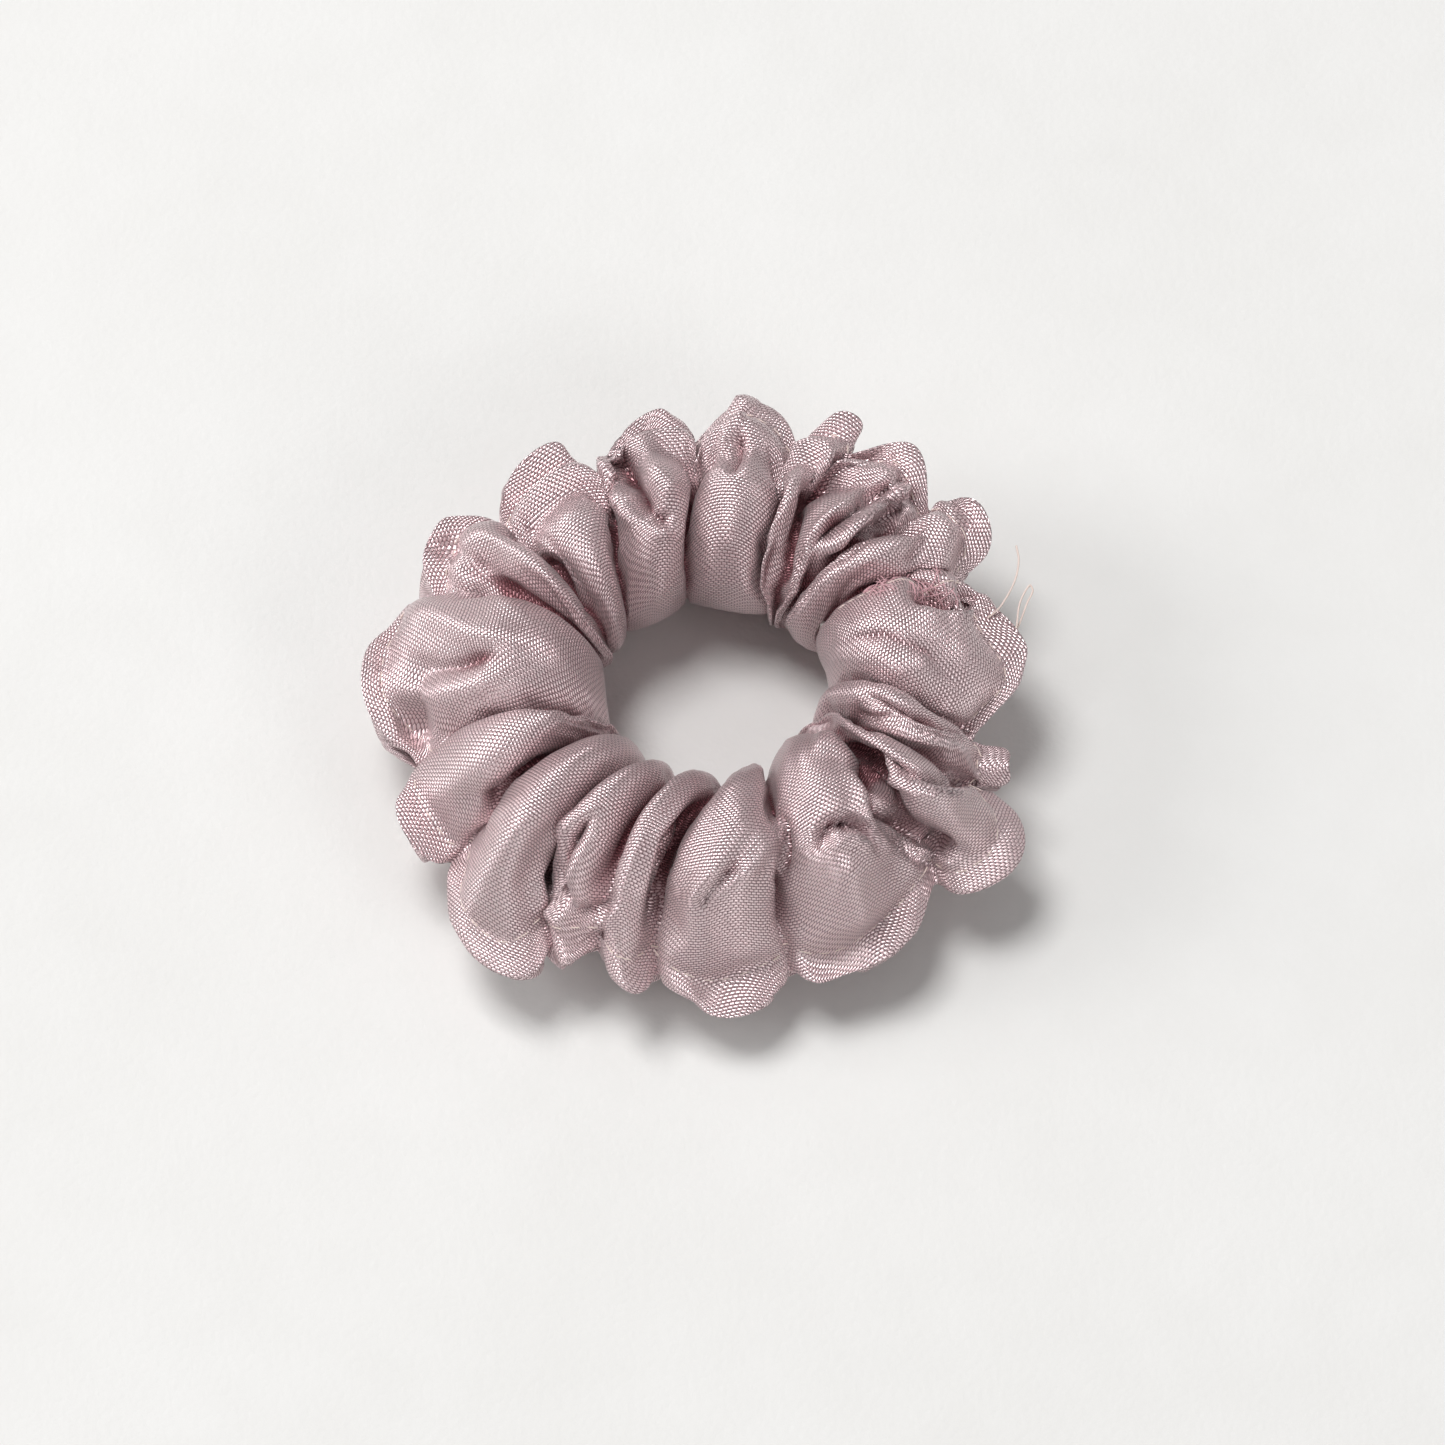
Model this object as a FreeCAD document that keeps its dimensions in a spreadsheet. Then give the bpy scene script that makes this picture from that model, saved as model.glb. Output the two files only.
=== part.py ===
# Gathered satin scrunchie, lying flat: millimetres, +Z up, origin under the middle of its box.
import FreeCAD, Part
import math
import os

V = FreeCAD.Vector
up = V(0, 0, 1)

doc = FreeCAD.newDocument("scrunchie")
sheet = doc.addObject("Spreadsheet::Sheet", "sizes")

# Driving sizes in millimetres, with angles in degrees
sizes = {
    "hole_radius": 14.7,       # inner edge of the cloth, at the bottom of a valley
    "outer_radius": 43.8,      # tip of the sewn frill, at the crest of a fold
    "cover_height": 26.5,      # table to the crest of a fold
    "cover_wall": 1.0,         # satin with the small pleats that are packed in it
    "frill_width": 5.5,        # the two turned-in edges, from their root to their tip
    "frill_thickness": 1.2,
    "crest_swell": 1.5,        # how far a crest stands into the hole
    "valley_top": 6.5,         # how far a full valley drops below the crests
    "valley_outer": 5.0,       # how far a full valley draws the frill in
    "valley_base": 2.5,        # how far a full valley lifts off the table
    "full_fold": 20.0,         # a fold at least this wide, in degrees, has the full depth
    "base_flat": 0.5,          # what is cut flat where a fold rests
    "elastic_width": 6.0,
    "elastic_thickness": 0.8,
    "elastic_clearance": 1.3,  # inner wall of the cover at its waist, to the elastic
    "lap_angle": 34.0,         # overlap of the elastic's two ends
    "lap_start": -38.0,
    "lap_stitches": 9,
    "lap_margin": 1.0,         # elastic's edge to the zigzag
    "thread_diameter": 0.25,
    "thread_clearance": 0.1,
    "stitch_pitch": 2.5,
    "stitch_gap": 0.6,         # bare cloth between two stitches
    "stitch_inset": 2.0,       # root of the frill to the stitch line
    "tail_bend": 5.5,          # radius of the loose thread end's bend
    "tail_turn": 95.0,
    "loop_radius": 2.2,        # slack loop of the closing thread
    "loop_turn": 310.0,
}
for row, (alias, value) in enumerate(sizes.items(), 1):
    sheet.set("A%d" % row, alias)
    sheet.set("B%d" % row, str(value))
    sheet.setAlias("B%d" % row, alias)
doc.recompute()

# Folds, anticlockwise from nine o'clock, each with the valley before it: the valley's angles at the frill, at
# the crown and at the hole, and how far its bottom slips under a neighbour (positive is anticlockwise). Then
# the fold's frill: its height as a share of the cover's, and how far its tip reaches out and hangs, in mm.
near_valleys = [
    (-164, -165, -152, 4, 0.47, 1.4, 1.5), (-141, -141, -147, -5, 0.40, 3.4, 4.0),
    (-113, -128, -122, 4, 0.51, -1.5, 3.5), (-109, -113, -107, 3, 0.49, -1.0, 4.0),
    (-99, -102, -84, 4, 0.36, 0.8, 4.5), (-71, -70, -56, -4, 0.42, 0.0, 3.5),
    (-47, -41, -33, 4, 0.42, 3.6, 2.0), (-15, -27, -28, 3, 0.53, -2.5, 1.0),
    (-8, -13, 2, -4, 0.55, -1.4, 1.0),
]
far_valleys = [
    (23, 23, 28, 4, 0.66, 0.5, 0.0), (45, 40, 48, -3, 0.72, -1.0, 0.0),
    (55, 59, 50, 3, 0.70, -1.2, 0.0), (75, 72, 59, -4, 0.74, -3.6, -1.0),
    (87, 92, 98, 3, 0.72, -3.4, 0.0), (110, 116, 133, 4, 0.70, -2.6, 0.0),
    (137, 146, 155, -4, 0.60, -1.0, 0.5), (161, 158, 160, 4, 0.53, 2.0, 0.5),
]
right_split, right_frill = (7, 15), (0.55, -1.4, 1.0)      # crest where the two halves meet on the right
left_split, left_frill = (179, 182), (0.53, 2.0, 0.5)      # crest where they meet on the left
slip_share = 0.5               # share of a valley's slip that its bottom gets
shoulder_place = 0.66          # rounded shoulder of a fold, as a share of the way from crest to valley
shoulder_depth = 0.26          # share of the valley's depth that it has there
waist_level = 0.47             # height of the waist that the elastic draws in, as a share of the cover's
under_bow, hole_bow, crown_bow, lower_bow = 0.19, 0.20, 0.15, 0.14      # how far a side stands off its chord
toe_place, heel_place = 0.30, 0.62      # ends of the flat underside, as shares of the way to the frill's root
rest_place = 0.46                       # place between them that rests on the table
lap_slant = 0.35                        # half a zigzag stitch's sideways run, as a share of its pitch
knot_inset, loop_heading = 2.6, 190     # where the closing thread's ends leave the frill
loop_lift, tail_lift = 0.9, 1.8         # how far above the knot they lie, over the frill's slope


def size(alias):
    return float(sheet.get(alias))


def between(first, second, share):
    return tuple(a + (b - a) * share for a, b in zip(first, second))


def polar(radius, angle):
    return V(radius * math.cos(math.radians(angle)), radius * math.sin(math.radians(angle)), 0)


def flat_section(outer_angle, inner_angle):
    """The three angles of a section that isn't bowed."""
    middle = polar(size("outer_radius"), outer_angle) + polar(size("hole_radius"), inner_angle)
    return outer_angle, math.degrees(math.atan2(middle.y, middle.x)), inner_angle


def stations(start, start_frill, valleys, end, end_frill):
    """Sections of one half, each with its three angles, its depth (1 in a full valley) and its frill."""
    marks = [valley[:3] for valley in valleys]
    crests = [start] + [between(a, b, 0.5) for a, b in zip(marks, marks[1:])] + [end]
    frills = [start_frill] + [valley[4:] for valley in valleys[:-1]] + [end_frill]
    ring = [(start, 0.0, start_frill)]
    for number, mark in enumerate(marks):
        before, after = crests[number], crests[number + 1]
        spread = (after[0] - before[0] + after[2] - before[2]) / 2
        depth = min(1.0, spread / size("full_fold"))
        bottom = tuple(angle + valleys[number][3] * slip_share for angle in mark)
        ring.append((between(before, mark, shoulder_place), depth * shoulder_depth, frills[number]))
        ring.append((bottom, depth, between(frills[number], frills[number + 1], 0.5)))
        ring.append((between(after, mark, shoulder_place), depth * shoulder_depth, frills[number + 1]))
        ring.append((after, 0.0, frills[number + 1]))
    return ring


class Fold:
    """One section of the tube, from the hole outwards, bowed as its fold is, and the places on it."""

    def __init__(self, station):
        (outer_angle, crown_angle, inner_angle), depth, (frill, reach, droop) = station
        self.inner = polar(size("hole_radius"), inner_angle)
        way = polar(size("outer_radius"), outer_angle) - self.inner
        middle = self.inner + way * 0.5
        self.span = way.Length
        self.outward = V(way).normalize()
        self.bow = (crown_angle - math.degrees(math.atan2(middle.y, middle.x)) + 180) % 360 - 180
        self.top = size("cover_height") - size("valley_top") * depth
        self.base = size("valley_base") * depth - size("base_flat") * (1 - depth)
        self.edge = -size("crest_swell") * (1 - depth)
        self.tip = self.span - size("valley_outer") * depth + reach
        self.root = self.tip - size("frill_width")
        self.frill = frill * size("cover_height")
        self.droop = droop

    def at(self, reach, level):
        share = reach / self.span
        turn = FreeCAD.Rotation(up, self.bow * 4 * share * (1 - share))
        return turn.multVec(self.inner + self.outward * reach) + up * level

    def on_frill(self, inset, side):
        """Place on the frill's upper (1) or lower (-1) face, an inset outwards from its root."""
        level = self.frill + side * size("frill_thickness") / 2
        root, tip = self.at(self.root, level), self.at(self.tip, level - self.droop)
        return root + (tip - root) * (inset / size("frill_width"))

    def bowed(self, start, end, share):
        """Arc between two places that stands off its chord by a share of it."""
        middle = (start[0] + end[0]) / 2, (start[1] + end[1]) / 2
        bulge = middle[0] - (end[1] - start[1]) * share, middle[1] + (end[0] - start[0]) * share
        return Part.Arc(self.at(*start), self.at(*bulge), self.at(*end)).toShape()

    def straight(self, start, end):
        return Part.makeLine(self.at(*start), self.at(*end))

    def outline(self, wall):
        """Closed wire round the cloth, or round the cavity when a wall is given."""
        half = size("frill_thickness") / (4 if wall else 2)
        waist = (self.edge + wall, waist_level * size("cover_height"))
        crown = ((self.edge + self.root) / 2, self.top - wall)
        upper = (self.root - 2 * wall, self.frill + half)
        lower = (self.root - 2 * wall, self.frill - half)
        heel = (self.root * heel_place, self.base + wall)
        toe = (self.edge + self.root * toe_place, self.base + wall)
        sides = [self.bowed(toe, waist, under_bow), self.bowed(waist, crown, hole_bow),
                 self.bowed(crown, upper, crown_bow)]
        if wall:
            sides.append(self.straight(upper, lower))
        else:
            end_upper, end_lower = (self.tip, upper[1] - self.droop), (self.tip, lower[1] - self.droop)
            sides += [self.straight(upper, end_upper), self.straight(end_upper, end_lower),
                      self.straight(end_lower, lower)]
        sides += [self.bowed(lower, heel, lower_bow), self.straight(heel, toe)]
        return Part.Wire(sides)


def cover_half(folds):
    """Hollow shell of one half: the folded skin, less the cavity and what the table flattens."""
    skin = Part.makeLoft([fold.outline(0) for fold in folds], True, True)
    cavity = Part.makeLoft([fold.outline(size("cover_wall")) for fold in folds], True, True)
    room = 4 * size("outer_radius")
    table = Part.makeBox(room, room, room, V(-room / 2, -room / 2, -room))
    return skin.cut(cavity).cut(table)


def thread_between(start, end, lift):
    """One straight stitch from start to end, lifted clear of the cloth that it lies on."""
    radius = size("thread_diameter") / 2
    base = start + lift * (radius + size("thread_clearance"))
    return Part.makeCylinder(radius, (end - start).Length, base, end - start)


def clear_stitch(start, end, lift, cloth):
    """Stitch from start to end, lifted further where a fold of the cloth rolls over the seam."""
    thread = thread_between(start, end, lift)
    nearest = size("thread_clearance") / 2
    while thread.distToShape(cloth)[0] < nearest or cloth.isInside(thread.CenterOfMass, nearest, False):
        start, end = start + lift * size("thread_clearance"), end + lift * size("thread_clearance")
        thread = thread_between(start, end, lift)
    return thread


def seam_thread(folds, side, cloth):
    """Row of stitches along the frill's root: side is 1 for the upper face and -1 for the lower one."""
    line = [fold.on_frill(size("stitch_inset"), side) for fold in folds]
    stitches = []
    for start, end, fold in zip(line, line[1:], folds):
        run = end - start
        count = int(run.Length / size("stitch_pitch"))
        across = fold.on_frill(size("frill_width"), side) - fold.on_frill(0, side)
        lift = across.cross(run).normalize() * side
        gap = V(run).normalize() * size("stitch_gap") / 2
        for number in range(count):
            first, last = start + run * (number / count), start + run * ((number + 1) / count)
            stitches.append(clear_stitch(first + gap, last - gap, lift, cloth))
    return Part.makeCompound(stitches)


def closing_thread(fold):
    """Stitches across the tube where its two ends meet, from the crown down to the frill."""
    crown = ((fold.edge + fold.root) / 2, fold.top)
    arc = fold.bowed(crown, (fold.root, fold.frill + size("frill_thickness") / 2), crown_bow)
    count = int(arc.Length / size("stitch_pitch"))
    stitches = []
    for number in range(count):
        first, last = (arc.valueAt(arc.getParameterByLength(way)) for way in (
            arc.Length * number / count + size("stitch_gap") / 2,
            arc.Length * (number + 1) / count - size("stitch_gap") / 2))
        lift = (last - first).cross(fold.outward.cross(up)).normalize()
        stitches.append(thread_between(first, last, lift if lift.z > 0 else lift * -1))
    return Part.makeCompound(stitches)


def lap_thread(radius, low):
    """Zigzag down the elastic's lap, on its outer face."""
    stitches = []
    count = int(size("lap_stitches"))
    for number in range(count):
        angle = size("lap_start") + size("lap_angle") * (number + 0.5) / count
        level = (low + size("lap_margin"), low + size("elastic_width") - size("lap_margin"))
        start, end = (level if number % 2 else level[::-1])
        step = size("lap_angle") / count * lap_slant
        stitches.append(thread_between(polar(radius, angle - step) + up * start,
                                       polar(radius, angle + step) + up * end, polar(1, angle)))
    return Part.makeCompound(stitches)


def primitive(kind, name, **bound):
    """Part primitive whose properties follow cells of the sheet."""
    item = doc.addObject(kind, name)
    for key, cell in bound.items():
        item.setExpression(key, cell)
    return item


def shaped(name, shape):
    item = doc.addObject("Part::Feature", name)
    item.Shape = shape
    return item


def combined(kind, name, base, tool):
    item = doc.addObject(kind, name)
    item.Base, item.Tool = base, tool
    return item


# The cover: one gathered tube of satin, in the two halves that the stretch pulls apart
right_crest, left_crest = flat_section(*right_split), flat_section(*left_split)
near_start = tuple(angle - 360 for angle in left_crest)
near_folds = [Fold(s) for s in stations(near_start, left_frill, near_valleys, right_crest, right_frill)]
far_folds = [Fold(s) for s in stations(right_crest, right_frill, far_valleys, left_crest, left_frill)]
cover_near = shaped("cover_near", cover_half(near_folds))
cover_far = shaped("cover_far", cover_half(far_folds))

# The elastic: a flat band stood on edge, its ends overlapped and sewn
band_radius = "sizes.hole_radius + sizes.cover_wall + sizes.elastic_clearance"
outer_face = band_radius + " + sizes.elastic_thickness"
lap_face = outer_face + " + sizes.elastic_thickness"
band_outside = primitive("Part::Cylinder", "band_outside", Radius=outer_face, Height="sizes.elastic_width")
band_inside = primitive("Part::Cylinder", "band_inside", Radius=band_radius, Height="sizes.elastic_width")
lap_outside = primitive("Part::Cylinder", "lap_outside", Radius=lap_face, Height="sizes.elastic_width",
                        Angle="sizes.lap_angle")
lap_outside.setExpression("Placement.Rotation.Angle", "sizes.lap_start")
lap_outside.setExpression("Placement.Rotation.Axis.z", "1")
band_stock = combined("Part::Fuse", "band_stock", band_outside, lap_outside)
elastic_band = combined("Part::Cut", "elastic_band", band_stock, band_inside)
doc.recompute()
elastic_low = waist_level * size("cover_height") - size("elastic_width") / 2
elastic_radius = size("hole_radius") + size("cover_wall") + size("elastic_clearance")
lap_radius = elastic_radius + 2 * size("elastic_thickness")
elastic_join_thread = shaped("elastic_join_thread", lap_thread(lap_radius, elastic_low))

# The sewing: needle and bobbin threads of the frill's seam, and the thread that closes the tube
seam_threads = [
    shaped("needle_thread_near", seam_thread(near_folds, 1, cover_near.Shape)),
    shaped("needle_thread_far", seam_thread(far_folds, 1, cover_far.Shape)),
    shaped("bobbin_thread_near", seam_thread(near_folds, -1, cover_near.Shape)),
    shaped("bobbin_thread_far", seam_thread(far_folds, -1, cover_far.Shape)),
]
closing_fold = far_folds[1]
closing = shaped("closing_thread", closing_thread(closing_fold))

# The closing thread's loose end and slack loop, which lie over the frill
thread_tail = primitive("Part::Torus", "thread_tail", Radius1="sizes.tail_bend",
                        Radius2="sizes.thread_diameter / 2", Angle3="sizes.tail_turn")
thread_loop = primitive("Part::Torus", "thread_loop", Radius1="sizes.loop_radius",
                        Radius2="sizes.thread_diameter / 2", Angle3="sizes.loop_turn")
doc.recompute()
knot = closing_fold.on_frill(knot_inset, 1) + up * (size("thread_diameter") + size("thread_clearance"))
heading = math.degrees(math.atan2(closing_fold.outward.y, closing_fold.outward.x))

pieces = {
    cover_near: FreeCAD.Placement(), cover_far: FreeCAD.Placement(),
    elastic_band: FreeCAD.Placement(up * elastic_low, FreeCAD.Rotation()),
    elastic_join_thread: FreeCAD.Placement(), closing: FreeCAD.Placement(),
    thread_tail: FreeCAD.Placement(knot + closing_fold.outward * size("tail_bend") + up * tail_lift,
                                   FreeCAD.Rotation(up, heading + 180 - size("tail_turn"))),
    thread_loop: FreeCAD.Placement(knot + closing_fold.outward * size("loop_radius") + up * loop_lift,
                                   FreeCAD.Rotation(up, heading + loop_heading)),
}
pieces.update({thread: FreeCAD.Placement() for thread in seam_threads})

# The origin goes under the middle of the cover's box
cover_box = Part.makeCompound([cover_near.Shape, cover_far.Shape]).optimalBoundingBox(False)
centred = V(-(cover_box.XMin + cover_box.XMax) / 2, -(cover_box.YMin + cover_box.YMax) / 2, -cover_box.ZMin)
for piece, place in pieces.items():
    place.Base = place.Base + centred
    piece.Placement = place
    piece.Label = piece.Name
doc.recompute()

for item in doc.Objects:
    if "Invalid" in item.State or "Error" in item.State:
        raise RuntimeError("%s failed: %s" % (item.Name, item.State))
for piece in pieces:
    if piece.Shape.isNull() or not piece.Shape.isValid():
        raise RuntimeError("%s has no valid shape" % piece.Label)

os.makedirs("parts", exist_ok=True)
for piece in pieces:
    piece.Shape.exportStep("parts/%s.step" % piece.Label)
    box = piece.Shape.optimalBoundingBox(False)
    print("%s: %d solids, %.1f mm3, x %.2f..%.2f, y %.2f..%.2f, z %.2f..%.2f" % (
        piece.Label, len(piece.Shape.Solids), piece.Shape.Volume,
        box.XMin, box.XMax, box.YMin, box.YMax, box.ZMin, box.ZMax))
rest_fold = near_folds[12]
rest_spot = rest_fold.at(rest_fold.root * rest_place, 0) + centred
print("centred %.3f %.3f %.3f, point on the base %.2f %.2f %.2f" % (*centred, *rest_spot))
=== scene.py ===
import math
import bpy
import numpy as np
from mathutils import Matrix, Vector


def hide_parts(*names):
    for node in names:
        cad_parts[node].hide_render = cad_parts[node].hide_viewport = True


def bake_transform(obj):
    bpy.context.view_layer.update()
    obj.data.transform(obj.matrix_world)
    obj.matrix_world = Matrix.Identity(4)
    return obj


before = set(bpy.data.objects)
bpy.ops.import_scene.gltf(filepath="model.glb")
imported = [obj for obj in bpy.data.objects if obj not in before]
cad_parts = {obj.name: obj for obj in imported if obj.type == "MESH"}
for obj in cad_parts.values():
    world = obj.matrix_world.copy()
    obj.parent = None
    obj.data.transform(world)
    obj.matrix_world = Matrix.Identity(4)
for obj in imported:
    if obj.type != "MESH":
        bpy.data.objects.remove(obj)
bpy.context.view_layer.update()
mm = 0.001
print("frame loaded")

ring = (0.906, 2.268)       # middle of the hair hole in mm, from under the middle of the box

# Camera: the photograph's view, as if from about 0.9 m at 64 degrees above the table
view = {
    "elevation": math.radians(64), "distance": 900 * mm, "frameWidth": 188 * mm,
    "aim": ((ring[0] + 2.0) * mm, (ring[1] - 4.7) * mm, 13 * mm),      # what lies at the picture's middle
    "pixels": 1445,
}


def makeCamera():
    camera = bpy.data.objects.new("camera", bpy.data.cameras.new("camera"))
    bpy.context.scene.collection.objects.link(camera)
    back = Vector((0, -math.cos(view["elevation"]), math.sin(view["elevation"])))
    camera.location = Vector(view["aim"]) + back * view["distance"]
    camera.rotation_euler = (math.pi / 2 - view["elevation"], 0, 0)
    camera.data.sensor_width = 36
    camera.data.lens = 36 * view["distance"] / view["frameWidth"]
    camera.data.clip_start, camera.data.clip_end = 0.01, 10
    bpy.context.scene.camera = camera


makeCamera()

# The folds, anticlockwise from nine o'clock. Each row starts with the valley before the fold: the
# angles of its crease at the frill, at the crown and at the hole, how deep it is, and how far the
# crease slips under the next fold (positive is anticlockwise). Then the fold's frill: its height in
# mm, its reach and its droop, and how far the fold stands back from the hole.
foldKeys = ("outer", "crown", "inner", "depth", "slip", "frill", "reach", "droop", "back")
folds = [
    (-164, -165, -152, 1.00, 4, 12.5, 1.4, 1.5, 0.0),
    (-141, -141, -147, 1.00, -5, 10.5, 3.4, 4.0, 0.0),
    (-113, -128, -122, 0.95, 4, 13.5, -1.5, 3.5, 0.0),
    (-109, -113, -107, 0.85, 3, 13.0, -1.0, 4.0, 0.0),
    (-99, -102, -84, 0.95, 4, 9.5, 0.8, 4.5, 0.0),
    (-71, -70, -56, 0.95, -4, 11.0, 0.0, 3.5, 0.0),
    (-47, -41, -33, 1.00, 4, 11.0, 3.6, 2.0, 0.0),
    (-18, -27, -28, 0.9, 3, 14.0, -2.5, 1.0, 1.6),
    (-5, -12, 2, 0.95, -4, 14.5, -1.4, 1.0, 2.6),
    (19, 22, 28, 1.00, 4, 17.5, 0.5, 0.0, 1.0),
    (45, 40, 48, 0.75, -3, 19.0, -1.0, 0.0, 0.0),
    (55, 59, 50, 0.85, 3, 18.5, -1.2, 0.0, 0.0),
    (75, 72, 59, 1.00, -4, 19.5, -3.6, -1.0, 0.0),
    (87, 92, 98, 1.00, 3, 19.0, -3.4, 0.0, 0.0),
    (110, 116, 133, 1.00, 4, 18.5, -2.6, 0.0, 0.0),
    (137, 146, 155, 0.95, -4, 16.0, -1.0, 0.5, 0.0),
    (161, 158, 160, 1.00, 4, 14.0, 2.0, 0.5, 0.0),
]

# Outline of the gathered tube across a fold, from the frill's upper lip over the crown, round the
# hole and under to the lower lip: outwards from the hole's edge, and height, in mm. "f" heights
# count from the frill.
crestOutline = [
    (29.0, "f", 0.35), (27.2, "f", 0.85), (25.4, "f", 1.0), (23.9, "f", 2.7), (21.8, "f", 5.6),
    (18.2, 23.0), (12.8, 26.3), (7.0, 25.6), (2.2, 22.2), (-0.9, 17.0), (-1.5, 12.0), (0.2, 6.2),
    (4.2, 1.6), (9.5, 0.2), (15.0, 0.5), (19.6, 3.2), (22.8, "f", -3.6), (25.4, "f", -1.0),
    (27.2, "f", -0.85), (29.0, "f", -0.35),
]
valleyOutline = [
    (25.0, "f", 0.35), (23.2, "f", 0.85), (21.4, "f", 1.0), (19.4, "f", 1.9), (17.2, "f", 3.0),
    (14.0, 17.6), (10.5, 18.9), (6.8, 18.9), (3.6, 17.6), (1.4, 14.6), (0.7, 11.6), (1.6, 8.0),
    (4.4, 4.9), (8.6, 3.6), (13.0, 3.9), (16.6, 5.9), (19.2, "f", -2.2), (21.4, "f", -1.0),
    (23.2, "f", -0.85), (25.0, "f", -0.35),
]
cover = {
    "around": 350, "across": 60,        # mesh cells along the strip and across it
    "holeRadius": 14.7, "outerRadius": 43.8,
    "cellSpare": 8, "cellLeast": 12,     # degrees added to each fold to share out the cells, and the fewest
    "hem": 3.6, "hemTip": 28.4,          # turned-in edge inside the frill
    "hemLevel": 0.12, "lipOut": 29.15, "lipLevel": 0.2,
    "frillEnd": 29.0, "valleyBack": 4.0,             # the frill's edge, and its step back in a valley
    "outlineEnd": 29.1, "valleyFrill": 0.5,
    "roundOff": 2.2, "roundPower": 2.5,              # rounds the frill's outline off beside each valley
    "droopFrom": 23.6, "droopValley": 3.8, "droopOver": 5.4, "droopMost": 1.1,
    "reachFrom": 9, "reachOver": 16, "backFrom": 11, "backOver": 12,
    "frillLevel": 14,                    # for the first measure of the outline's length only
}

# Creases and ridges pressed into the folds, where the photograph shows them: a line in its pixels, how deep
# in mm (a ridge is negative), and half its width in pixels at its first and last point
creases = {
    "hook, half past eleven": ([(607, 440), (622, 462), (638, 492), (656, 516)], 3.2, 9, 15),
    "lip beside it": ([(636, 440), (655, 470), (676, 500)], -1.4, 12, 12),
    "knot of the hook": ([(655, 516), (674, 522)], 1.6, 8, 9),
    "notch, twelve": ([(741, 432), (738, 452), (726, 470)], 2.4, 9, 12),
    "knob, twelve": ([(736, 402), (750, 416)], -1.5, 14, 14),
    "fold, half past twelve": ([(886, 446), (868, 458), (838, 470), (812, 500)], 1.6, 10, 8),
    "pleat, one o'clock": ([(912, 484), (884, 502), (852, 526), (824, 552)], -1.8, 7, 7),
    "crease above the pleat": ([(905, 478), (870, 498), (836, 524), (812, 550)], 2.4, 6, 7),
    "crease below the pleat": ([(915, 494), (888, 515), (856, 540), (830, 562)], 2.0, 6, 7),
    "dimple, two o'clock": ([(944, 478), (966, 510), (978, 536)], 1.2, 12, 10),
    "hook, three o'clock": ([(916, 596), (940, 604), (960, 605), (975, 594)], 2.8, 8, 8),
    "rim of the hook": ([(880, 590), (920, 580), (962, 583), (990, 600)], -1.3, 9, 9),
    "flow, three o'clock": ([(838, 640), (880, 632), (930, 650), (970, 700)], 1.0, 16, 18),
    "pleat, half past three": ([(866, 694), (892, 713), (930, 720), (974, 731)], 2.6, 7, 6),
    "second line of the pleat": ([(862, 712), (915, 728), (968, 741)], 1.8, 6, 6),
    "under the pleat": ([(838, 742), (888, 765), (940, 782), (986, 786)], 3.0, 7, 7),
    "ridge by the hole": ([(812, 742), (850, 748)], -1.5, 9, 9),
    "crease, half past four": ([(858, 762), (886, 810), (920, 836), (962, 852)], 3.4, 8, 9),
    "second crease beside it": ([(866, 800), (896, 838), (926, 862)], 2.4, 7, 8),
    "swell, half past four": ([(900, 790), (950, 806), (1000, 830)], -1.6, 22, 22),
    "arch, five o'clock": ([(816, 844), (830, 828), (850, 822), (870, 828), (882, 844)], 4.0, 8, 8),
    "swell under the arch": ([(850, 850), (846, 890), (862, 930)], -1.5, 20, 18),
    "fold, half past five": ([(782, 815), (784, 850), (782, 878)], 2.2, 7, 8),
    "flap, six o'clock": ([(778, 822), (758, 852), (736, 880)], -1.6, 12, 9),
    "pit, six o'clock": ([(738, 862), (716, 884), (700, 906)], 1.6, 7, 8),
    "flow, six o'clock": ([(760, 800), (722, 850), (700, 900), (704, 960)], -1.2, 16, 18),
    "rib, half past six": ([(700, 800), (668, 840), (655, 890), (650, 930)], 1.6, 7, 8),
    "deep fold, half past seven": ([(590, 818), (564, 850), (552, 874), (556, 896), (576, 916)], 3.5, 9, 11),
    "its tail": ([(576, 916), (598, 912), (612, 896)], 1.8, 9, 8),
    "swell, half past seven": ([(560, 790), (515, 830), (480, 890), (455, 935)], -1.3, 18, 20),
    "fold, eight o'clock": ([(455, 795), (480, 800), (510, 780)], 0.8, 16, 14),
    "hollow, nine o'clock": ([(404, 655), (428, 668), (462, 664), (492, 650)], 1.7, 20, 14),
    "rib, nine o'clock": ([(398, 606), (440, 616), (470, 632), (520, 640)], -1.2, 14, 14),
    "under the lip, nine o'clock": ([(412, 660), (414, 700), (420, 750)], 1.8, 18, 16),
    "flow, ten o'clock": ([(420, 540), (460, 552), (500, 580), (540, 605)], 0.9, 12, 10),
    "flow, half past ten": ([(500, 500), (545, 540), (590, 600)], 0.7, 14, 14),
}


def foldRow(name):
    return np.array([fold[foldKeys.index(name)] for fold in folds], float)


def foldEnds():
    return {key: np.append(foldRow(key), foldRow(key)[0] + 360) for key in ("outer", "crown", "inner")}


def foldCells():
    # how many mesh cells each fold has round the ring
    spans = sum(np.diff(end) for end in foldEnds().values()) / 3 + cover["cellSpare"]
    return np.maximum(cover["cellLeast"], np.round(cover["around"] * spans / spans.sum())).astype(int)


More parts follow.
